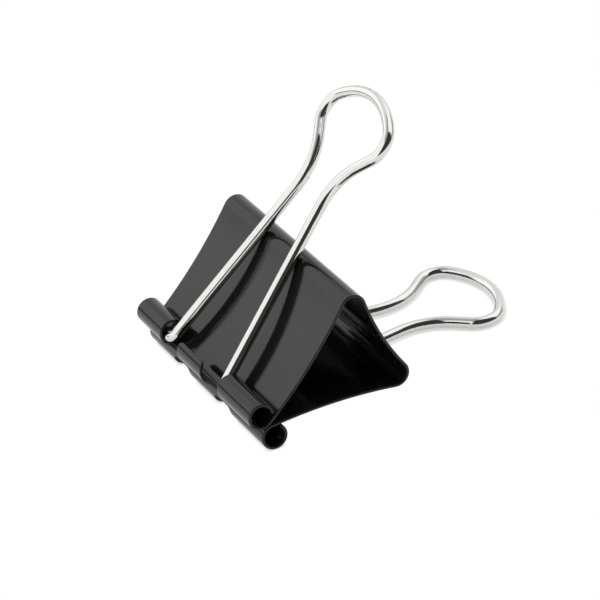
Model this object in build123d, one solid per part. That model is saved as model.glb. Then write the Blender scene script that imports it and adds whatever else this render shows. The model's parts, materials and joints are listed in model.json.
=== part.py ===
from build123d import *
from math import sin, cos, tan, radians, degrees, asin, atan2, hypot
import os

# Small spring clip for holding papers and leather pieces: one folded sheet of spring
# steel with a rolled lip along each free edge, and two bent wire handles that turn in
# the rolled lips. All sizes in millimetres.
#
# Clip frame used while modelling: X runs along the lips, Y from the front jaw (-) to
# the rear jaw (+), Z from the mouth (0 at the lip axes) up to the spine.

# ---------------------------------------------------------------- driving dimensions
CLIP_WIDTH = 19.0          # length of the sheet along X, the size the clip is sold by
SHEET = 0.2                # thickness of the spring steel
LIP_RADIUS = 0.96          # outside radius of the rolled lip
MOUTH_GAP = 0.01           # half of the working gap left between the closed lips
WALL_ANGLE_MOUTH = 16.8    # lean of the wall away from the mid plane at the lip
WALL_ANGLE_SPINE = 31.6    # the same beside the spine: the wall flares outwards
WALL_LENGTH = 9.5          # developed length of one wall
BEND_RADIUS = 0.78         # inside radius of the two folds beside the spine
SPINE_DIP_ANGLE = 10.0     # slope of the bowed-in spine where it leaves a fold

SOCKET_TURN = 314.0        # how far the end sockets are rolled
TAB_TURN = 187.0           # how far the short tab between the slots is rolled
SLOT_ROOT_TURN = 79.0      # the slots are cut down to this point of the roll
SLOT_OUTER = 4.8          # outer side of a slot, from the middle of the slots
SLOT_INNER = 2.03          # inner side of a slot, from the middle of the slots
SLOT_SHIFT = -0.55         # the slots are punched a little to one side of the middle
SLOT_ROOT_RADIUS = 0.5     # rounded bottom corners of a slot
TAB_CORNER_RADIUS = 0.45   # rounded corners of the tab
SOCKET_CORNER_RADIUS = 0.45 # rounded corners of the sockets beside the slots

WIRE_RADIUS = 0.41
WIRE_END_ROUND = 0.1
FOOT_REACH = 7.9           # end of a foot, from the middle of the handle
FOOT_DROP = 0.33           # the feet rest this far off the lip axis, at its mouth side
LEG_SPREAD = 4.27          # half distance between the legs at the feet
LEG_TAPER = 9.6            # how much each leg leans in towards the neck
NECK_HEIGHT = 16.035       # crossing of the leg and flank lines above the feet
FLANK_ANGLE = 43.5         # how far the flanks of the loop open out
LOOP_HALF_WIDTH = 4.4      # to the wire's centre line
LOOP_CORNER_RADIUS = 1.55
LOOP_TOP_RADIUS = 6.3
NECK_RADIUS = 4.4
ELBOW_RADIUS = 0.62         # bend from leg to foot
HANDLE_CLEARANCE = 0.01    # between a folded handle and the fold it lies against
FRONT_HANDLE_LIFT = 0.02   # degrees a folded handle stands off its fold, held by the lips
REAR_HANDLE_LIFT = 1.75
FRONT_HANDLE_SHIFT = 0.1   # the front handle sits this far to one side in its sockets


# ---------------------------------------------------------------- small helpers (Y, Z)
def polar(centre, radius, angle):
    return (centre[0] + radius * cos(radians(angle)), centre[1] + radius * sin(radians(angle)))


def band(centre, radius_in, radius_out, start, turn, x_from, x_to):
    """Part of a round sheet: a ring sector in the YZ plane, extruded along X."""
    end = start + turn
    middle = start + turn / 2
    outline = Wire([
        ThreePointArc(*[(0, *polar(centre, radius_out, a)) for a in (start, middle, end)]),
        Line((0, *polar(centre, radius_out, end)), (0, *polar(centre, radius_in, end))),
        ThreePointArc(*[(0, *polar(centre, radius_in, a)) for a in (end, middle, start)]),
        Line((0, *polar(centre, radius_in, start)), (0, *polar(centre, radius_out, start))),
    ])
    return Pos(x_from, 0, 0) * extrude(Face(outline), amount=x_to - x_from, dir=(1, 0, 0))


def radial_edges(solid, centre, angle, x_positions):
    """Short edges through the sheet on one radial cut, at the given places along X."""
    middle = polar(centre, LIP_RADIUS - SHEET / 2, angle)
    found = []
    for edge in solid.edges():
        p = edge.center()
        near = hypot(p.Y - middle[0], p.Z - middle[1]) < SHEET / 4
        if near and edge.length < SHEET * 1.1 and any(abs(p.X - x) < SHEET / 4 for x in x_positions):
            found.append(edge)
    return found


# ---------------------------------------------------------------- sheet, front half
half_width = CLIP_WIDTH / 2
lip_axis = (-(LIP_RADIUS + MOUTH_GAP), 0.0)
wall_radius = WALL_LENGTH / radians(WALL_ANGLE_SPINE - WALL_ANGLE_MOUTH)   # of the throat side
# the throat face of the wall is tangent to the outside of the lip where the roll begins
wall_centre = polar(lip_axis, -(wall_radius - LIP_RADIUS), WALL_ANGLE_MOUTH)
wall = band(wall_centre, wall_radius - SHEET, wall_radius, WALL_ANGLE_MOUTH,
            WALL_ANGLE_SPINE - WALL_ANGLE_MOUTH, -half_width, half_width)

wall_top = polar(wall_centre, wall_radius, WALL_ANGLE_SPINE)
fold_axis = polar(wall_top, BEND_RADIUS, WALL_ANGLE_SPINE)
fold_start = 180 + WALL_ANGLE_SPINE
fold_end = 90 - SPINE_DIP_ANGLE
front_bend = band(fold_axis, BEND_RADIUS, BEND_RADIUS + SHEET, fold_start,
                  fold_end - fold_start, -half_width, half_width)

# spine: a shallow arc bowed towards the mouth, its centre is out beyond the clip
spine_side = polar(fold_axis, BEND_RADIUS, fold_end)
spine_radius = -spine_side[0] / sin(radians(SPINE_DIP_ANGLE))
spine_centre = (0.0, spine_side[1] + spine_radius * cos(radians(SPINE_DIP_ANGLE)))
spine_panel = band(spine_centre, spine_radius - SHEET, spine_radius, 270 - SPINE_DIP_ANGLE,
                   2 * SPINE_DIP_ANGLE, -half_width, half_width)

# rolled lip: full roll, slots cut from its edge, and the tab between them cut shorter
roll = band(lip_axis, LIP_RADIUS - SHEET, LIP_RADIUS, WALL_ANGLE_MOUTH, -SOCKET_TURN,
            -half_width, half_width)
slot_root = WALL_ANGLE_MOUTH - SLOT_ROOT_TURN
tab_edge = WALL_ANGLE_MOUTH - TAB_TURN
socket_edge = WALL_ANGLE_MOUTH - SOCKET_TURN
cut_in, cut_out = LIP_RADIUS - 2 * SHEET, LIP_RADIUS + SHEET / 2
over_run = 10.0            # degrees the cutters pass the edge of the roll
for inner, outer in ((-SLOT_OUTER, -SLOT_INNER), (SLOT_INNER, SLOT_OUTER)):
    roll -= band(lip_axis, cut_in, cut_out, slot_root, SLOT_ROOT_TURN - SOCKET_TURN - over_run,
                 SLOT_SHIFT + inner, SLOT_SHIFT + outer)
roll -= band(lip_axis, cut_in, cut_out, tab_edge, TAB_TURN - SOCKET_TURN - over_run,
             SLOT_SHIFT - SLOT_INNER - SHEET, SLOT_SHIFT + SLOT_INNER + SHEET)
slot_sides = [SLOT_SHIFT + side * x for side in (-1, 1) for x in (SLOT_INNER, SLOT_OUTER)]
tab_sides = [SLOT_SHIFT + side * SLOT_INNER for side in (-1, 1)]
socket_sides = [SLOT_SHIFT + side * SLOT_OUTER for side in (-1, 1)]
for angle, places, radius in ((slot_root, slot_sides, SLOT_ROOT_RADIUS),
                              (tab_edge, tab_sides, TAB_CORNER_RADIUS),
                              (socket_edge, socket_sides, SOCKET_CORNER_RADIUS)):
    corners = radial_edges(roll, lip_axis, angle, places)
    assert len(corners) == len(places), (angle, len(corners))
    roll = fillet(corners, radius)
front_jaw = wall + roll

# ---------------------------------------------------------------- wire handle, lying flat
# Outline in the handle's own plane: across = X, along = away from the feet.
neck = (LEG_SPREAD - NECK_HEIGHT * tan(radians(LEG_TAPER)), NECK_HEIGHT)
corner_across = LOOP_HALF_WIDTH - LOOP_CORNER_RADIUS
corner_along = NECK_HEIGHT + (LOOP_CORNER_RADIUS + (corner_across - neck[0])
                              * cos(radians(FLANK_ANGLE))) / sin(radians(FLANK_ANGLE))
top_centre = corner_along - ((LOOP_TOP_RADIUS - LOOP_CORNER_RADIUS) ** 2 - corner_across ** 2) ** 0.5
handle_length = top_centre + LOOP_TOP_RADIUS

leg_up = (-sin(radians(LEG_TAPER)), cos(radians(LEG_TAPER)))
flank_up = (sin(radians(FLANK_ANGLE)), cos(radians(FLANK_ANGLE)))
neck_tangent = NECK_RADIUS * tan(radians((LEG_TAPER + FLANK_ANGLE) / 2))
elbow_tangent = ELBOW_RADIUS * tan(radians((90 - LEG_TAPER) / 2))


def along(point, direction, distance):
    return (point[0] + direction[0] * distance, point[1] + direction[1] * distance)


foot_end = (FOOT_REACH, 0.0)
elbow_foot = (LEG_SPREAD + elbow_tangent, 0.0)
elbow_leg = along((LEG_SPREAD, 0.0), leg_up, elbow_tangent)
neck_low = along(neck, leg_up, -neck_tangent)
neck_high = along(neck, flank_up, neck_tangent)
loop_low = polar((corner_across, corner_along), LOOP_CORNER_RADIUS, -FLANK_ANGLE)
corner_turn = degrees(atan2(corner_along - top_centre, corner_across))
loop_high = polar((corner_across, corner_along), LOOP_CORNER_RADIUS, corner_turn)


def arc_middle(centre, radius, start, end):
    return polar(centre, radius, (start + end) / 2)


elbow_mid = arc_middle((elbow_foot[0], ELBOW_RADIUS), ELBOW_RADIUS, 270, 180 + LEG_TAPER)
neck_centre = (neck_low[0] + NECK_RADIUS * cos(radians(LEG_TAPER)),
               neck_low[1] + NECK_RADIUS * sin(radians(LEG_TAPER)))
neck_mid = arc_middle(neck_centre, NECK_RADIUS, 180 + LEG_TAPER, 180 - FLANK_ANGLE)
corner_mid = arc_middle((corner_across, corner_along), LOOP_CORNER_RADIUS, -FLANK_ANGLE, corner_turn)


def handle_edges(side):
    def at(p):
        return (SLOT_SHIFT + side * p[0], 0, p[1])
    return [
        Line(at(foot_end), at(elbow_foot)),
        ThreePointArc(at(elbow_foot), at(elbow_mid), at(elbow_leg)),
        Line(at(elbow_leg), at(neck_low)),
        ThreePointArc(at(neck_low), at(neck_mid), at(neck_high)),
        Line(at(neck_high), at(loop_low)),
        ThreePointArc(at(loop_low), at(corner_mid), at(loop_high)),
    ]


top_arc = ThreePointArc((SLOT_SHIFT + loop_high[0], 0, loop_high[1]), (SLOT_SHIFT, 0, handle_length),
                        (SLOT_SHIFT - loop_high[0], 0, loop_high[1]))
path = Wire(handle_edges(1) + [top_arc] + handle_edges(-1)[::-1])
section = Plane(origin=(SLOT_SHIFT + FOOT_REACH, 0, 0), z_dir=(-1, 0, 0)) * Circle(WIRE_RADIUS)
wire = sweep(section, path=path)
ends = [e for e in wire.edges() if abs(abs(e.center().X - SLOT_SHIFT) - FOOT_REACH) < WIRE_RADIUS / 5
        and e.length > WIRE_RADIUS]
wire = fillet(ends, WIRE_END_ROUND)

# lean of the folded handle's plane: clear of the outside of the fold
pivot = (lip_axis[0], lip_axis[1] - FOOT_DROP)
assert FOOT_DROP + WIRE_RADIUS < LIP_RADIUS - SHEET
reach = (fold_axis[0] - pivot[0], fold_axis[1] - pivot[1])
stand_off = BEND_RADIUS + SHEET + WIRE_RADIUS + HANDLE_CLEARANCE
handle_lean = degrees(atan2(-reach[0], reach[1])) + degrees(asin(stand_off / hypot(*reach)))
front_handle, front_twin_of_rear = [Pos(shift, pivot[0], pivot[1]) * Rot(X=handle_lean + lift) * wire
                                    for shift, lift in ((FRONT_HANDLE_SHIFT, FRONT_HANDLE_LIFT),
                                                        (0, REAR_HANDLE_LIFT))]

# ---------------------------------------------------------------- lay the clip on its rear handle
# Row frame: X along the lips, Y from mouth to handle loops, Z up. The clip rests on the
# rear lip and on the end of the rear handle's loop.
floor_slope = handle_lean
for _ in range(8):         # the pivot's height over the floor depends on the slope, a little
    pivot_height = LIP_RADIUS - FOOT_DROP * sin(radians(floor_slope))
    floor_slope = (handle_lean + REAR_HANDLE_LIFT
                   - degrees(asin((pivot_height - WIRE_RADIUS) / handle_length)))


def lay(shape):
    return Rot(X=-(90 - floor_slope)) * shape


def mirrored(shape):
    return mirror(shape, about=Plane.XZ)


nodes = {
    "spine_panel": spine_panel,
    "front_bend": front_bend,
    "rear_bend": mirrored(front_bend),
    "front_jaw": front_jaw,
    "rear_jaw": mirrored(front_jaw),
    "front_handle": front_handle,
    "rear_handle": mirrored(front_twin_of_rear),
}
laid = {name: lay(shape) for name, shape in nodes.items()}
box = Compound(children=[Part() + s for s in laid.values()]).bounding_box()
to_origin = Pos(-(box.min.X + box.max.X) / 2, -(box.min.Y + box.max.Y) / 2, -box.min.Z)

os.makedirs("parts", exist_ok=True)
for name, shape in laid.items():
    placed = to_origin * shape
    export_step(placed, f"parts/{name}.step")
    print(name, [round(v, 3) for v in (*placed.bounding_box().min, *placed.bounding_box().max)],
          round(placed.volume, 3))


def in_row(y, z):
    """A point of the clip frame's middle plane, in the row frame."""
    p = (to_origin * lay(Pos(0, y, z) * Sphere(SHEET))).center()
    return [round(p.X, 4), round(p.Y, 4), round(p.Z, 4)]


# what the record needs: joint axes, mount places, and the lean of the whole clip
loop_middle = corner_along
lean_front, lean_rear = [radians(handle_lean + lift) for lift in (FRONT_HANDLE_LIFT, REAR_HANDLE_LIFT)]
places = {
    "front_lip": lip_axis, "rear_lip": (-lip_axis[0], 0.0),
    "front_pivot": pivot, "rear_pivot": (-pivot[0], pivot[1]),
    "front_fold": fold_axis, "rear_fold": (-fold_axis[0], fold_axis[1]),
    "mouth": (0.0, 0.0), "spine": (0.0, spine_centre[1] - spine_radius),
    "front_loop": (pivot[0] - loop_middle * sin(lean_front), pivot[1] + loop_middle * cos(lean_front)),
    "rear_loop": (-pivot[0] + loop_middle * sin(lean_rear), pivot[1] + loop_middle * cos(lean_rear)),
}
for name, place in places.items():
    print("place", name, *in_row(*place))
print("handle lean", round(handle_lean, 3), "floor slope", round(floor_slope, 3),
      "handle length", round(handle_length, 3), "box", box.size)
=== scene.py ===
"""Looks of a 19 mm binder clip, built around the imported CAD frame.

The folded sheet is drawn as two shells that meet in the middle of the spine. Each follows the
spine, turns over a fold, runs down its jaw and ends in the rolled lip. The wires are swept along
the handles' own outline.
"""

import json
from math import atan2, cos, degrees, pi, radians, sin, sqrt, tan

import bmesh
import bpy
import numpy as np
from mathutils import Matrix, Vector


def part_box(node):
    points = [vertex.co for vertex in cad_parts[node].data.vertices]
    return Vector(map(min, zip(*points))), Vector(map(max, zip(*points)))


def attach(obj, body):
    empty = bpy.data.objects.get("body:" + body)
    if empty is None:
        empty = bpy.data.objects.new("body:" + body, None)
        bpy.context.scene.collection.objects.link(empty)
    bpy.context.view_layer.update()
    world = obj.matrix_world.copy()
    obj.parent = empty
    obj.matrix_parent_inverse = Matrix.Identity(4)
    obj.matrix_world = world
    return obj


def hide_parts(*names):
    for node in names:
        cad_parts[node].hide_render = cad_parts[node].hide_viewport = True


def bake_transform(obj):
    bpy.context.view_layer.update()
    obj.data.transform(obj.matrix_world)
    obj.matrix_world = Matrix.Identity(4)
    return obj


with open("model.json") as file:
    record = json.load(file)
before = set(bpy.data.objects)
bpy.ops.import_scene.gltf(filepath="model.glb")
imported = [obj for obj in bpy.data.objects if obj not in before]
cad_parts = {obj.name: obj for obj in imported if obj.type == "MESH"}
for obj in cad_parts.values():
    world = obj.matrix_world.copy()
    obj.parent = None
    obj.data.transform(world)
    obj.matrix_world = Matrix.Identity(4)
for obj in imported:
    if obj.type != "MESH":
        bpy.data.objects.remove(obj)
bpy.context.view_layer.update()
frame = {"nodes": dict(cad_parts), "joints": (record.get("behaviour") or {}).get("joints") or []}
MM = 0.001

# ---------------------------------------------------------- sizes, as in the CAD, in millimetres
CLIP_WIDTH = 19.0
SHEET = 0.2
LIP_RADIUS = 0.96
WALL_ANGLE_MOUTH = 16.8
WALL_ANGLE_SPINE = 31.6
WALL_LENGTH = 9.5
BEND_RADIUS = 0.78
SPINE_DIP_ANGLE = 10.0
SOCKET_TURN = 314.0
TAB_TURN = 187.0
SLOT_ROOT_TURN = 79.0
SLOT_OUTER = 4.8
SLOT_INNER = 2.03
SLOT_SHIFT = -0.55
SLOT_ROOT_RADIUS = 0.5
TAB_CORNER_RADIUS = 0.45
SOCKET_CORNER_RADIUS = 0.45
TAB_TAPER = 0.08           # how much narrower each side of the tab is at its edge
END_CORNER_RADIUS = 0.15   # outer corners of the sheet, at the free edge

WIRE_RADIUS = 0.41
END_DOME = 0.09            # how far the wire's cut ends are rounded
FOOT_REACH = 7.9
FOOT_DROP = 0.33           # the feet rest this far off the lip axis, at its mouth side
LEG_SPREAD = 4.27
LEG_TAPER = 9.6
NECK_HEIGHT = 16.035
FLANK_ANGLE = 43.5
LOOP_HALF_WIDTH = 4.4
LOOP_CORNER_RADIUS = 1.55
LOOP_TOP_RADIUS = 6.3
NECK_RADIUS = 4.4
ELBOW_RADIUS = 0.62

EDGE_ROUND = 0.05          # how far the sheet's cut edges are rounded in
EDGE_STEPS = 6             # faces across a rounded cut edge
SEGMENTS = 32              # faces round the wire
DOME_STEPS = 5             # rings of a wire's rounded end
FINE_STEP = 0.045          # spacing of the rows round the folds and the rolls
COARSE_STEP = 0.3          # spacing of the rows along the spine and the walls
PATCH_STEP = 0.06          # spacing of the rows up a tab or a socket
SEAM_ROW = 0.02            # first row beside the seam, which keeps the shading flat there
CORNER_SHARE = 0.03        # share of a patch's width kept for the columns beside its ends
COLUMNS = (14, 8, 16, 8, 14)   # socket, slot, tab, slot, socket
HALF = SHEET / 2
HALF_WIDTH = CLIP_WIDTH / 2

# ------------------------------------------------------------------ the clip's own axes, read from the joints
hinge = {j["name"]: np.array(j["pos_m"]) / MM for j in frame["joints"]}
front_pivot, rear_pivot = hinge["front_handle_swing"], hinge["rear_handle_swing"]
front_fold = hinge["front_jaw_open"]
axis_y = (rear_pivot - front_pivot) / np.linalg.norm(rear_pivot - front_pivot)
axis_z = np.array([0.0, -axis_y[2], axis_y[1]])
if axis_z @ (front_fold - front_pivot) < 0:
    axis_z = -axis_z
mouth = (front_pivot + rear_pivot) / 2 + FOOT_DROP * axis_z


def to_row(points):
    """Points (x, y, z) in the clip's own axes, in millimetres, to the row frame in metres."""
    p = np.asarray(points, float)
    across, forward, upward = p.T
    return (mouth + np.outer(across, [1, 0, 0]) + np.outer(forward, axis_y)
            + np.outer(upward, axis_z)) * MM


def polar(centre, radius, angle):
    return np.array([centre[0] + radius * cos(radians(angle)), centre[1] + radius * sin(radians(angle))])


# ------------------------------------------------------------------ the sheet's profile, front half
lip_axis = np.array([-(rear_pivot - front_pivot) @ axis_y / 2, 0.0])
wall_radius = WALL_LENGTH / radians(WALL_ANGLE_SPINE - WALL_ANGLE_MOUTH)
wall_centre = polar(lip_axis, -(wall_radius - LIP_RADIUS), WALL_ANGLE_MOUTH)
wall_top = polar(wall_centre, wall_radius, WALL_ANGLE_SPINE)
fold_axis = polar(wall_top, BEND_RADIUS, WALL_ANGLE_SPINE)
spine_side = polar(fold_axis, BEND_RADIUS, 90 - SPINE_DIP_ANGLE)
spine_radius = -spine_side[0] / sin(radians(SPINE_DIP_ANGLE))
spine_centre = np.array([0.0, spine_side[1] + spine_radius * cos(radians(SPINE_DIP_ANGLE))])

# arcs from the middle of the spine to the edge of the roll: centre, radius of the sheet's middle,
# start and end angle, and whether the handle's side faces the centre (-1) or away from it (1)
ARCS = [
    (spine_centre, spine_radius - HALF, 270.0, 270.0 - SPINE_DIP_ANGLE, -1),
    (fold_axis, BEND_RADIUS + HALF, 90.0 - SPINE_DIP_ANGLE, 180.0 + WALL_ANGLE_SPINE, 1),
    (wall_centre, wall_radius - HALF, WALL_ANGLE_SPINE, WALL_ANGLE_MOUTH, -1),
    (lip_axis, LIP_RADIUS - HALF, WALL_ANGLE_MOUTH, WALL_ANGLE_MOUTH - SOCKET_TURN, -1),
]
LENGTHS = [r * radians(abs(b - a)) for _, r, a, b, _ in ARCS]
STARTS = np.concatenate([[0], np.cumsum(LENGTHS)])
FOLD_START, WALL_START, ROLL_START = STARTS[1], STARTS[2], STARTS[3]
ROLL_MIDDLE = LIP_RADIUS - HALF
SLOT_ROOT = ROLL_START + radians(SLOT_ROOT_TURN) * ROLL_MIDDLE
TAB_END = ROLL_START + radians(TAB_TURN) * ROLL_MIDDLE
SOCKET_END = STARTS[4]


def on_profile(s):
    """Point of the sheet's middle (y, z) at developed length s, and its normal towards the handle's side."""
    for (centre, radius, a, b, side), start, length in zip(ARCS, STARTS, LENGTHS):
        if s <= start + length + 1e-9:
            break
    angle = radians(a + (b - a) * (s - start) / length)
    away = np.array([cos(angle), sin(angle)])
    return centre + radius * away, side * away


# ------------------------------------------------------------------ the sheet's outline, developed flat
# u is the developed length past the bottom of the slots. Each side of a patch gives, for a height
# u of the inset outline, the point of the real outline and the direction into the sheet.
TAB_LENGTH = TAB_END - SLOT_ROOT
SOCKET_LENGTH = SOCKET_END - SLOT_ROOT


def slot_side(x_side, into, end, corner, root, slope):
    """Side of a slot: a rounded bottom corner, a run leaning by slope, a rounded upper corner."""
    def at(u):
        inset = EDGE_ROUND
        if u < root:                                    # bottom corner, hollow
            c = max(-1.0, min(1.0, (root - u) / (root + inset)))
            phi = np.arccos(c)
            m = np.array([into * sin(phi), -cos(phi)])
            return np.array([x_side - into * root, root]) + root * m, m
        if u > end - corner:                            # corner at the free edge
            c = max(-1.0, min(1.0, (u - (end - corner)) / (corner - inset)))
            phi = np.arcsin(c)
            m = -np.array([-into * cos(phi), sin(phi)])
            return np.array([x_side + into * (corner + slope), end - corner]) - corner * m, m
        share = (u - root) / (end - corner - root)
        lean = slope * share * share * (3 - 2 * share)
        return np.array([x_side + into * lean, u]), np.array([into, 0.0])
    return at


def sheet_end(x_side, into, end, corner):
    """End of the sheet: straight, with a small rounded corner at the free edge."""
    def at(u):
        if u > end - corner:
            c = max(-1.0, min(1.0, (u - (end - corner)) / (corner - EDGE_ROUND)))
            phi = np.arcsin(c)
            m = -np.array([-into * cos(phi), sin(phi)])
            return np.array([x_side + into * corner, end - corner]) - corner * m, m
        return np.array([x_side, u]), np.array([into, 0.0])
    return at


def spread(n, edge=CORNER_SHARE):
    """n + 1 shares from 0 to 1, with support columns close to both ends."""
    inner = np.linspace(edge, 1 - edge, n - 1)
    return np.concatenate([[0, edge * 0.3], inner, [1 - edge * 0.3, 1]])


class Shell:
    """Collects the vertices and faces of one closed shell. A vertex has a flat place (x, s) and a height."""

    def __init__(self, mirror):
        self.mirror = mirror
        self.points, self.flat, self.faces = [], [], []
        self.cache = {}

    def vertex(self, x, s, height):
        key = (round(x, 6), round(s, 6), round(height, 6))
        if key not in self.cache:
            place, normal = on_profile(max(0.0, min(s, SOCKET_END)))
            y, z = place + height * normal
            self.points.append((x, -y if self.mirror else y, z))
            self.flat.append((x, s, height))
            self.cache[key] = len(self.points) - 1
        return self.cache[key]

    def face(self, *v):
        if len(set(v)) >= 3:
            v = [a for i, a in enumerate(v) if a != v[i - 1]]
            self.faces.append(tuple(reversed(v)) if self.mirror else tuple(v))

    def patch(self, rows):
        """rows of (x, s); draws the handle's side and the throat's side."""
        for lower, upper in zip(rows, rows[1:]):
            for i in range(len(lower) - 1):
                quad = (lower[i], lower[i + 1], upper[i + 1], upper[i])
                self.face(*[self.vertex(x, s, HALF) for x, s in quad])
                self.face(*[self.vertex(x, s, -HALF) for x, s in reversed(quad)])

    def edge(self, outline):
        """outline of (real point, direction into the sheet): a rounded strip joins the two sides."""
        rings = []
        for place, into in outline:
            ring = []
            for k in range(EDGE_STEPS + 1):
                theta = -pi / 2 + pi * k / EDGE_STEPS
                x, s = place + EDGE_ROUND * (1 - cos(theta)) * into
                ring.append(self.vertex(x, s, HALF * sin(theta)))
            rings.append(ring)
        for one, two in zip(rings, rings[1:]):
            for k in range(EDGE_STEPS):
                self.face(one[k], two[k], two[k + 1], one[k + 1])


def make_shell(name, mirror):
    shell = Shell(mirror)
    left, right = -HALF_WIDTH, HALF_WIDTH
    c = SLOT_SHIFT
    socket = (SOCKET_LENGTH, SOCKET_CORNER_RADIUS, SLOT_ROOT_RADIUS, 0.0)
    tongue = (TAB_LENGTH, TAB_CORNER_RADIUS, SLOT_ROOT_RADIUS, TAB_TAPER)
    outer_left = slot_side(c - SLOT_OUTER, -1, *socket)
    outer_right = slot_side(c + SLOT_OUTER, 1, *socket)
    inner_left = slot_side(c - SLOT_INNER, 1, *tongue)
    inner_right = slot_side(c + SLOT_INNER, -1, *tongue)
    end_left = sheet_end(left, 1, SOCKET_LENGTH, END_CORNER_RADIUS)
    end_right = sheet_end(right, -1, SOCKET_LENGTH, END_CORNER_RADIUS)

    def inset(side, u):
        place, into = side(u)
        return place + EDGE_ROUND * into

    bottom = -EDGE_ROUND
    # columns of the full-width rows: socket, slot bottom, tab, slot bottom, socket
    sides = (end_left, outer_left, inner_left, inner_right, outer_right, end_right)
    marks = [inset(side, bottom)[0] for side in sides]
    shares = [spread(n) for n in COLUMNS]
    columns = [marks[i] + (marks[i + 1] - marks[i]) * shares[i] for i in range(len(COLUMNS))]
    full = np.concatenate([col[:-1] for col in columns[:-1]] + [columns[-1]])

    # full-width rows from the middle of the spine down to the bottom of the slots
    stops = [0.0, SEAM_ROW]
    runs = ((0, LENGTHS[0], COARSE_STEP), (FOLD_START, LENGTHS[1], FINE_STEP),
            (WALL_START, LENGTHS[2], COARSE_STEP),
            (ROLL_START, SLOT_ROOT - ROLL_START - EDGE_ROUND, FINE_STEP))
    for start, length, step in runs:
        n = max(2, round(length / step))
        stops += list(start + length * np.arange(1, n + 1) / n)
    shell.patch([[(x, s) for x in full] for s in stops])

    def patch_above(first, last, end, columns_here, corner):
        """Rows of a tab or socket, between two sides, from the bottom of the slots to its free edge."""
        root = SLOT_ROOT_RADIUS
        us = [root - (root + EDGE_ROUND) * cos(radians(a)) for a in range(0, 91, 9)]
        straight = end - corner - root
        n = max(2, round(straight / PATCH_STEP))
        us += list(root + straight * np.arange(1, n + 1) / n)
        us += [end - corner + (corner - EDGE_ROUND) * sin(radians(a)) for a in range(10, 91, 10)]
        rows = []
        for u in us:
            a, b = inset(first, u), inset(last, u)
            rows.append([(a[0] + (b[0] - a[0]) * t, SLOT_ROOT + u) for t in columns_here])
        shell.patch(rows)
        return us, rows

    sockets_l = patch_above(end_left, outer_left, SOCKET_LENGTH, shares[0], SOCKET_CORNER_RADIUS)
    tab = patch_above(inner_left, inner_right, TAB_LENGTH, shares[2], TAB_CORNER_RADIUS)
    sockets_r = patch_above(outer_right, end_right, SOCKET_LENGTH, shares[4], SOCKET_CORNER_RADIUS)

    def flat_edge(row, s, into_s):
        return [(np.array([x, s]), np.array([0.0, into_s])) for x in row]

    # the outline, walked once round: seam left end -> down the left end -> ... -> right end -> seam
    def lift(samples):
        return [(np.array([p[0], p[1] + SLOT_ROOT]), m) for p, m in samples]

    left_low = [(np.array([left, s]), np.array([1.0, 0.0])) for s in stops[:-1]]
    right_low = [(np.array([right, s]), np.array([-1.0, 0.0])) for s in stops[:-1]]
    outline = list(left_low)
    outline += lift([end_left(u) for u in sockets_l[0]])
    outline += flat_edge([x for x, _ in sockets_l[1][-1]], SOCKET_END, -1.0)[1:-1]
    outline += lift([outer_left(u) for u in reversed(sockets_l[0])])
    outline += flat_edge(columns[1], SLOT_ROOT, -1.0)[1:-1]
    outline += lift([inner_left(u) for u in tab[0]])
    outline += flat_edge([x for x, _ in tab[1][-1]], TAB_END, -1.0)[1:-1]
    outline += lift([inner_right(u) for u in reversed(tab[0])])
    outline += flat_edge(columns[3], SLOT_ROOT, -1.0)[1:-1]
    outline += lift([outer_right(u) for u in sockets_r[0]])
    outline += flat_edge([x for x, _ in sockets_r[1][-1]], SOCKET_END, -1.0)[1:-1]
    outline += lift([end_right(u) for u in reversed(sockets_r[0])])
    outline += right_low[::-1]
    shell.edge(outline)
    return shell, full


def seam_cap(shell, full):
    """Flat face that closes the shell in the middle of the spine."""
    top = [shell.vertex(x, 0.0, HALF) for x in full]
    low = [shell.vertex(x, 0.0, -HALF) for x in full]
    ends = []
    angles = [-pi / 2 + pi * k / EDGE_STEPS for k in range(1, EDGE_STEPS)]
    for x, into in ((full[0] - EDGE_ROUND, 1.0), (full[-1] + EDGE_ROUND, -1.0)):
        ends.append([shell.vertex(x + EDGE_ROUND * (1 - cos(t)) * into, 0.0, HALF * sin(t))
                     for t in angles])
    loop = top + ends[1][::-1] + low[::-1] + ends[0]
    shell.face(*loop)


def build_shell(name, mirror, nodes):
    shell, full = make_shell(name, mirror)
    seam_cap(shell, full)
    mesh = bpy.data.meshes.new(name)
    mesh.from_pydata([tuple(p) for p in to_row(shell.points)], [], shell.faces)
    mesh.validate()
    obj = bpy.data.objects.new(name, mesh)
    bpy.context.scene.collection.objects.link(obj)
    layer = mesh.uv_layers.new(name="sheet_mm")
    flat = np.array(shell.flat)
    loops = np.zeros(len(mesh.loops), np.int32)
    mesh.loops.foreach_get("vertex_index", loops)
    uv = np.stack([flat[loops, 0], flat[loops, 1] + 0.4 * flat[loops, 2]], 1)
    layer.data.foreach_set("uv", uv.astype(np.float32).ravel())
    rim = mesh.attributes.new("cut_edge", "FLOAT", "POINT")
    rim.data.foreach_set("value", (1 - (np.abs(flat[:, 2]) / HALF) ** 2).astype(np.float32))
    mesh.polygons.foreach_set("use_smooth", [True] * len(mesh.polygons))
    bm = bmesh.new()
    bm.from_mesh(mesh)
    bmesh.ops.recalc_face_normals(bm, faces=bm.faces)
    for e in bm.edges:
        if len(e.link_faces) == 2 and any(len(f.verts) > 4 for f in e.link_faces):
            e.smooth = False
    bm.to_mesh(mesh)
    bm.free()
    side = -1 if mirror else 1
    start, _ = on_profile(FOLD_START)
    end, _ = on_profile(WALL_START)
    start, end = [to_row([(0, p[0] * side, p[1])])[0] for p in (start, end)]
    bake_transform(obj)
    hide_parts(*nodes)
    return obj


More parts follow.
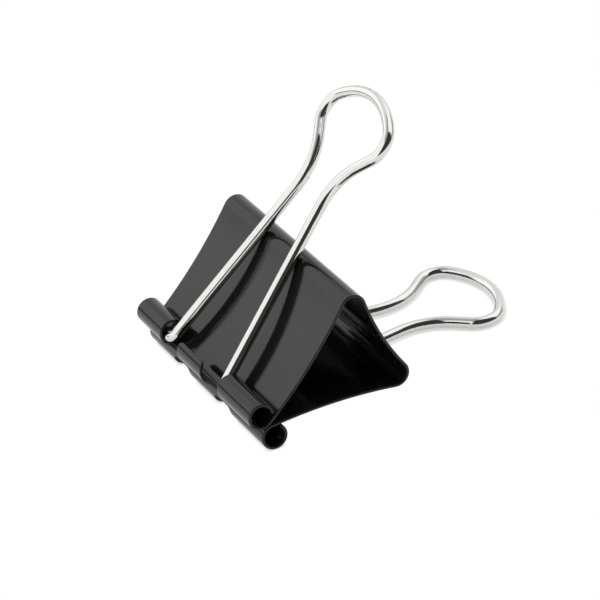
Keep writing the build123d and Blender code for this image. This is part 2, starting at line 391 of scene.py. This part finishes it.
# ------------------------------------------------------------------ wires
def handle_path():
    """The wire's centre line in the handle's plane, (across, along), dense enough to sweep."""
    neck = np.array([LEG_SPREAD - NECK_HEIGHT * tan(radians(LEG_TAPER)), NECK_HEIGHT])
    corner_x = LOOP_HALF_WIDTH - LOOP_CORNER_RADIUS
    flank_reach = LOOP_CORNER_RADIUS + (corner_x - neck[0]) * cos(radians(FLANK_ANGLE))
    corner_y = NECK_HEIGHT + flank_reach / sin(radians(FLANK_ANGLE))
    top_centre = corner_y - sqrt((LOOP_TOP_RADIUS - LOOP_CORNER_RADIUS) ** 2 - corner_x ** 2)
    leg = np.array([-sin(radians(LEG_TAPER)), cos(radians(LEG_TAPER))])
    flank = np.array([sin(radians(FLANK_ANGLE)), cos(radians(FLANK_ANGLE))])
    neck_t = NECK_RADIUS * tan(radians((LEG_TAPER + FLANK_ANGLE) / 2))
    elbow_t = ELBOW_RADIUS * tan(radians((90 - LEG_TAPER) / 2))
    elbow_foot = np.array([LEG_SPREAD + elbow_t, 0.0])
    elbow_leg = np.array([LEG_SPREAD, 0.0]) + leg * elbow_t
    neck_low, neck_high = neck - leg * neck_t, neck + flank * neck_t
    neck_centre = neck_low + NECK_RADIUS * np.array([cos(radians(LEG_TAPER)), sin(radians(LEG_TAPER))])
    turn = degrees(atan2(corner_y - top_centre, corner_x))

    def line(a, b, step=0.25):
        n = max(1, round(np.linalg.norm(b - a) / step))
        return [a + (b - a) * i / n for i in range(n)]

    def arc(centre, radius, a, b, step):
        n = max(2, round(abs(b - a) / step))
        return [polar(centre, radius, a + (b - a) * i / n) for i in range(n)]

    right = line(np.array([FOOT_REACH, 0.0]), elbow_foot)
    right += arc((elbow_foot[0], ELBOW_RADIUS), ELBOW_RADIUS, 270, 180 + LEG_TAPER, 6)
    right += line(elbow_leg, neck_low)
    right += arc(neck_centre, NECK_RADIUS, 180 + LEG_TAPER, 180 - FLANK_ANGLE, 2.5)
    low = polar((corner_x, corner_y), LOOP_CORNER_RADIUS, -FLANK_ANGLE)
    right += line(neck_high, low)
    right += arc((corner_x, corner_y), LOOP_CORNER_RADIUS, -FLANK_ANGLE, turn, 5)
    right += arc((0, top_centre), LOOP_TOP_RADIUS, turn, 90, 2)
    right = np.array(right)
    left = (right * [-1, 1])[::-1]
    return np.vstack([right, [[0, top_centre + LOOP_TOP_RADIUS]], left])


def build_wire(name, body, lip, node):
    """Sweeps a round section along the handle's path, with domed cut ends."""
    path = handle_path()
    low, high = [np.array(v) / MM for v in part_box(node)]
    # the handle's plane: from the lip axis to the far end of the loop
    middle_x = (low[0] + high[0]) / 2
    co = np.array([v.co for v in frame["nodes"][node].data.vertices]) / MM
    far = co[np.argsort(np.linalg.norm(co[:, 1:] - lip[1:], axis=1))[-40:]].mean(0)
    up = np.array([0.0, *(far[1:] - lip[1:])])
    up /= np.linalg.norm(up)
    across = np.array([1.0, 0, 0])
    out = np.cross(across, up)
    centre = np.array([middle_x, lip[1], lip[2]])
    tangent = np.gradient(path, axis=0)
    tangent /= np.linalg.norm(tangent, axis=1)[:, None]
    side = np.stack([-tangent[:, 1], tangent[:, 0]], 1)
    distance = np.concatenate([[0], np.cumsum(np.linalg.norm(np.diff(path, axis=0), axis=1))])
    dome = END_DOME
    verts, uvs, faces = [], [], []

    def ring(point, sideways, radius, dist):
        first = len(verts)
        for i in range(SEGMENTS):
            a = 2 * pi * i / SEGMENTS
            p = (centre + across * (point[0] + sideways[0] * cos(a) * radius)
                 + up * (point[1] + sideways[1] * cos(a) * radius) + out * sin(a) * radius)
            verts.append(p * MM)
            uvs.append((dist, i / SEGMENTS))
        return first

    rows = []
    n = len(path)
    angles = [radians(90 * k / DOME_STEPS) for k in range(DOME_STEPS)]

    def dome_ring(end, inwards, a, dist):
        point = path[end] + inwards * tangent[end] * dome * (1 - sin(a))
        return ring(point, side[end], WIRE_RADIUS - dome * (1 - cos(radians(90) - a)), dist)

    rows += [dome_ring(0, 1, a, -dome) for a in angles]
    for i in range(n):
        if distance[i] < dome or distance[i] > distance[-1] - dome:
            continue
        rows.append(ring(path[i], side[i], WIRE_RADIUS, distance[i]))
    rows += [dome_ring(-1, -1, a, distance[-1]) for a in reversed(angles)]
    for one, two in zip(rows, rows[1:]):
        for i in range(SEGMENTS):
            j = (i + 1) % SEGMENTS
            faces.append((one + i, one + j, two + j, two + i))
    faces.append(tuple(rows[0] + i for i in reversed(range(SEGMENTS))))
    faces.append(tuple(rows[-1] + i for i in range(SEGMENTS)))
    mesh = bpy.data.meshes.new(name)
    mesh.from_pydata([tuple(v) for v in verts], [], faces)
    obj = bpy.data.objects.new(name, mesh)
    bpy.context.scene.collection.objects.link(obj)
    layer = mesh.uv_layers.new(name="wire_mm")
    loops = np.zeros(len(mesh.loops), np.int32)
    mesh.loops.foreach_get("vertex_index", loops)
    uv = np.array(uvs)[loops]
    quads = uv[:4 * SEGMENTS * (len(rows) - 1)].reshape(-1, 4, 2)
    closing = quads[:, :, 1].max(1) > 1 - 1.5 / SEGMENTS
    quads[closing] = np.where((quads[closing] * [0, 1])[..., 1:] > 0, quads[closing], quads[closing] + [0, 1])
    layer.data.foreach_set("uv", uv.astype(np.float32).ravel())
    mesh.polygons.foreach_set("use_smooth", [True] * len(mesh.polygons))
    bm = bmesh.new()
    bm.from_mesh(mesh)
    bmesh.ops.recalc_face_normals(bm, faces=bm.faces)
    bm.to_mesh(mesh)
    bm.free()
    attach(obj, body)
    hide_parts(node)
    return obj


# ------------------------------------------------------------------ materials
ENAMEL_DARK, ENAMEL_LIGHT = (0.009, 0.0088, 0.008), (0.014, 0.0135, 0.012)
ENAMEL_RUBBED = (0.028, 0.026, 0.024, 1)
ENAMEL_IOR = 1.38
NICKEL_WARM, NICKEL_BRIGHT = (0.66, 0.65, 0.62), (0.78, 0.775, 0.76)
NICKEL_DULL = (0.50, 0.47, 0.42, 1)
PAPER = (0.8, 0.8, 0.8, 1)
PAPER_ROUGHNESS, PAPER_GLOW = 0.9, 0.45
CONTACT_REACH = 0.3        # how far from the clip its contact shade begins, in millimetres
CONTACT_DARKEST = 0.5


class Shading:
    """A node material, with short ways to add the usual nodes."""

    def __init__(self, name):
        self.material = bpy.data.materials.new(name)
        self.material.use_nodes = True
        self.tree = self.material.node_tree
        self.surface = self.tree.nodes["Principled BSDF"].inputs

    def node(self, kind, **inputs):
        node = self.tree.nodes.new(kind)
        for name, value in inputs.items():
            self.put(value, node.inputs[name.replace("_", " ")])
        return node

    def put(self, value, socket):
        if isinstance(value, bpy.types.NodeSocket):
            self.tree.links.new(value, socket)
        else:
            socket.default_value = value

    def math(self, kind, *values):
        node = self.tree.nodes.new("ShaderNodeMath")
        node.operation = kind
        for socket, value in zip(node.inputs, values):
            self.put(value, socket)
        return node.outputs[0]

    def noise(self, vector, scale, detail=2.0):
        return self.node("ShaderNodeTexNoise", Vector=vector, Scale=scale, Detail=detail).outputs["Fac"]

    def between(self, value, low, high, to_low=0.0, to_high=1.0):
        return self.node("ShaderNodeMapRange", Value=value, From_Min=low, From_Max=high,
                         To_Min=to_low, To_Max=to_high).outputs[0]

    def colours(self, share, one, two):
        node = self.tree.nodes.new("ShaderNodeMix")
        node.data_type = "RGBA"
        self.put(share, node.inputs[0])
        node.inputs[6].default_value = (*one, 1)
        node.inputs[7].default_value = (*two, 1)
        return node.outputs[2]

    def bump(self, height, distance_mm, strength):
        node = self.node("ShaderNodeBump", Height=height, Strength=strength, Distance=distance_mm * MM)
        self.put(node.outputs[0], self.surface["Normal"])


def enamel():
    """Black stoved enamel: slight orange peel, faint cloudiness, rubbed thin along the cut edges."""
    look = Shading("black_enamel")
    uv = look.tree.nodes.new("ShaderNodeUVMap")
    uv.uv_map = "sheet_mm"
    flat = uv.outputs["UV"]
    edge = look.tree.nodes.new("ShaderNodeAttribute")
    edge.attribute_name = "cut_edge"
    cloud = look.noise(flat, 0.35, 3)
    peel = look.noise(flat, 1.6, 2)
    grain = look.noise(flat, 9.0, 1)
    rubbed = look.between(look.noise(flat, 2.4, 4), 0.45, 0.62)
    wear = look.math("MULTIPLY", edge.outputs["Fac"], rubbed)
    stretched = look.tree.nodes.new("ShaderNodeMapping")
    look.put(flat, stretched.inputs["Vector"])
    stretched.inputs["Rotation"].default_value[2] = radians(24)
    stretched.inputs["Scale"].default_value = (5.0, 0.2, 1)
    scuff = look.between(look.noise(stretched.outputs[0], 1.0, 2), 0.70, 0.78)
    body = look.colours(cloud, ENAMEL_DARK, ENAMEL_LIGHT)
    worn = look.tree.nodes.new("ShaderNodeMix")
    worn.data_type = "RGBA"
    look.put(wear, worn.inputs[0])
    look.put(body, worn.inputs[6])
    worn.inputs[7].default_value = ENAMEL_RUBBED
    look.put(worn.outputs[2], look.surface["Base Color"])
    rough = look.between(cloud, 0.3, 0.7, 0.07, 0.14)
    rough = look.math("MULTIPLY_ADD", scuff, 0.05, rough)
    rough = look.math("MULTIPLY_ADD", wear, 0.22, rough)
    look.put(rough, look.surface["Roughness"])
    look.surface["IOR"].default_value = ENAMEL_IOR
    height = look.math("MULTIPLY_ADD", grain, 0.12, peel)
    look.bump(height, 0.01, 0.05)
    return look.material


def nickel():
    """Bright nickel plate on drawn wire: streaks along the wire, small dull spots."""
    look = Shading("nickel_wire")
    uv = look.tree.nodes.new("ShaderNodeUVMap")
    uv.uv_map = "wire_mm"
    parts = look.node("ShaderNodeSeparateXYZ", Vector=uv.outputs["UV"])
    turn = look.math("MULTIPLY", parts.outputs["Y"], 2 * pi)
    round_x, round_y = look.math("COSINE", turn), look.math("SINE", turn)

    def along(stretch):
        place = look.node("ShaderNodeCombineXYZ", X=look.math("MULTIPLY", parts.outputs["X"], stretch),
                          Y=round_x, Z=round_y)
        return place.outputs[0]

    streak = look.noise(along(0.05), 4.5, 4)
    fine = look.noise(along(0.12), 14.0, 2)
    spots = look.between(look.noise(along(0.9), 2.2, 4), 0.60, 0.72)
    tone = look.colours(streak, NICKEL_WARM, NICKEL_BRIGHT)
    dulled = look.tree.nodes.new("ShaderNodeMix")
    dulled.data_type = "RGBA"
    look.put(look.math("MULTIPLY", spots, 0.35), dulled.inputs[0])
    look.put(tone, dulled.inputs[6])
    dulled.inputs[7].default_value = NICKEL_DULL
    look.put(dulled.outputs[2], look.surface["Base Color"])
    look.surface["Metallic"].default_value = 1.0
    rough = look.between(fine, 0.3, 0.7, 0.06, 0.13)
    look.put(look.math("MULTIPLY_ADD", spots, 0.10, rough), look.surface["Roughness"])
    look.bump(look.math("MULTIPLY_ADD", fine, 0.4, streak), 0.008, 0.12)
    return look.material


front_nodes = ["spine_panel", "front_bend", "front_jaw"]
front_shell = build_shell("front_shell", False, front_nodes)
rear_shell = build_shell("rear_shell", True, ["rear_bend", "rear_jaw"])
front_wire = build_wire("front_wire", "front_handle", front_pivot, "front_handle")
rear_wire = build_wire("rear_wire", "rear_handle", rear_pivot, "rear_handle")
black, metal = enamel(), nickel()
for piece, material in ((front_shell, black), (rear_shell, black), (front_wire, metal), (rear_wire, metal)):
    piece.data.materials.append(material)

# ------------------------------------------------------------------ floor, light, camera
floor_mesh = bpy.data.meshes.new("floor")
FLOOR_HALF = 2.0
corners = [(x * FLOOR_HALF, y * FLOOR_HALF, 0) for x, y in ((-1, -1), (1, -1), (1, 1), (-1, 1))]
floor_mesh.from_pydata(corners, [], [(0, 1, 2, 3)])
floor = bpy.data.objects.new("floor", floor_mesh)
bpy.context.scene.collection.objects.link(floor)
# The camera sees through the floor to the white background, dimmed only where something touches it;
# every other ray meets a plain pale floor.
paper = Shading("floor")
paper.surface["Base Color"].default_value = PAPER
paper.surface["Roughness"].default_value = PAPER_ROUGHNESS
paper.surface["Emission Color"].default_value = (1, 1, 1, 1)
paper.surface["Emission Strength"].default_value = PAPER_GLOW
touch = paper.node("ShaderNodeAmbientOcclusion", Distance=CONTACT_REACH * MM)
touch.samples = 8
grey = paper.between(touch.outputs["AO"], 0.0, 0.9, CONTACT_DARKEST, 1.0)
shade = paper.node("ShaderNodeCombineColor", Red=grey, Green=grey, Blue=grey)
seen = paper.node("ShaderNodeBsdfTransparent", Color=shade.outputs[0])
choose = paper.tree.nodes.new("ShaderNodeMixShader")
paper.put(paper.tree.nodes.new("ShaderNodeLightPath").outputs["Is Camera Ray"], choose.inputs[0])
paper.put(paper.tree.nodes["Principled BSDF"].outputs[0], choose.inputs[1])
paper.put(seen.outputs[0], choose.inputs[2])
paper.put(choose.outputs[0], paper.tree.nodes["Material Output"].inputs["Surface"])
floor.data.materials.append(paper.material)

world = bpy.data.worlds.new("studio")
bpy.context.scene.world = world
world.use_nodes = True
wt = world.node_tree
background = wt.nodes["Background"]
where = wt.nodes.new("ShaderNodeTexCoord").outputs["Generated"]
path = wt.nodes.new("ShaderNodeLightPath").outputs


def number(kind, *values):
    """A math node between numbers or sockets."""
    node = wt.nodes.new("ShaderNodeMath")
    node.operation = kind
    for socket, value in zip(node.inputs, values):
        if isinstance(value, (int, float)):
            socket.default_value = value
        else:
            wt.links.new(value, socket)
    return node.outputs[0]


def ramp_between(value, low, high, to_low=0.0, to_high=1.0):
    node = wt.nodes.new("ShaderNodeMapRange")
    node.interpolation_type = "SMOOTHSTEP"
    wt.links.new(value, node.inputs["Value"])
    for name, v in (("From Min", low), ("From Max", high), ("To Min", to_low), ("To Max", to_high)):
        node.inputs[name].default_value = v
    return node.outputs[0]


split = wt.nodes.new("ShaderNodeSeparateXYZ")
wt.links.new(where, split.inputs[0])
azimuth = number("ARCTAN2", split.outputs["Y"], split.outputs["X"])
elevation = number("ARCSINE", split.outputs["Z"])


def window(value, low, high, soft):
    """1 between two angles in degrees, 0 outside, with soft edges."""
    rise = ramp_between(value, radians(low - soft), radians(low + soft))
    fall = ramp_between(value, radians(high - soft), radians(high + soft), 1.0, 0.0)
    return number("MULTIPLY", rise, fall)


PLAIN_STUDIO = 0.93
# azimuth from, to, elevation from, to, soft edge, all in degrees, and brightness against the
# plain studio; where patches overlap their brightnesses multiply
STUDIO = (
    (-120, -46, -30, 60, 8, 1.30),      # large soft box on the left
    (-190, -128, 9, 40, 6, 1.45),       # soft box behind on the left, the one the walls mirror
    (62, 145, 28, 76, 8, 1.35),         # soft box high on the right
    (-50, 60, -6, 99, 5, 0.05),         # the dark room behind the camera
    (58, 116, 0, 26, 8, 0.45),          # low flag on the right
    (-199, -47, 61, 99, 6, 0.45),       # ceiling
    (145, 199, 60, 99, 6, 0.5),         # ceiling, behind on the right
    (-199, -110, 1, 8, 2, 0.15),        # far edge of the table
    (150, 199, 1, 8, 2, 0.15),          # the same edge, on the right
)
light = number("ADD", 0.0, PLAIN_STUDIO)
for az_low, az_high, el_low, el_high, soft, level in STUDIO:
    across = window(azimuth, az_low, az_high, soft)
    inside = number("MULTIPLY", across, window(elevation, el_low, el_high, soft))
    light = number("MULTIPLY", light, number("MULTIPLY_ADD", inside, level - 1.0, 1.0))
mix = wt.nodes.new("ShaderNodeMix")
wt.links.new(path["Is Camera Ray"], mix.inputs[0])
wt.links.new(light, mix.inputs[2])
mix.inputs[3].default_value = 1.0
wt.links.new(mix.outputs[0], background.inputs["Strength"])
background.inputs["Color"].default_value = (1, 1, 1, 1)
bpy.context.scene.view_settings.view_transform = "Standard"

CAMERA_AZIMUTH, CAMERA_ELEVATION, CAMERA_ROLL = -21.53, 28.43, -8.79
CAMERA_PLACE = (230.07, -93.98, 138.80)
SENSOR, LENS_PX = 36.0, 4029.8
camera = bpy.data.objects.new("camera", bpy.data.cameras.new("camera"))
bpy.context.scene.collection.objects.link(camera)
bpy.context.scene.camera = camera
camera.data.sensor_width = SENSOR
camera.data.lens = SENSOR * LENS_PX / 600
camera.data.clip_start, camera.data.clip_end = 0.01, 10
a, e, r = [radians(v) for v in (CAMERA_AZIMUTH, CAMERA_ELEVATION, CAMERA_ROLL)]
back = Vector((cos(a) * cos(e), sin(a) * cos(e), sin(e)))
right = Vector((0, 0, 1)).cross(back).normalized()
up = back.cross(right)
right, up = right * cos(r) + up * sin(r), up * cos(r) - right * sin(r)
rotation = Matrix((right, up, back)).transposed()
camera.matrix_world = Matrix.Translation(Vector(CAMERA_PLACE) * MM) @ rotation.to_4x4()
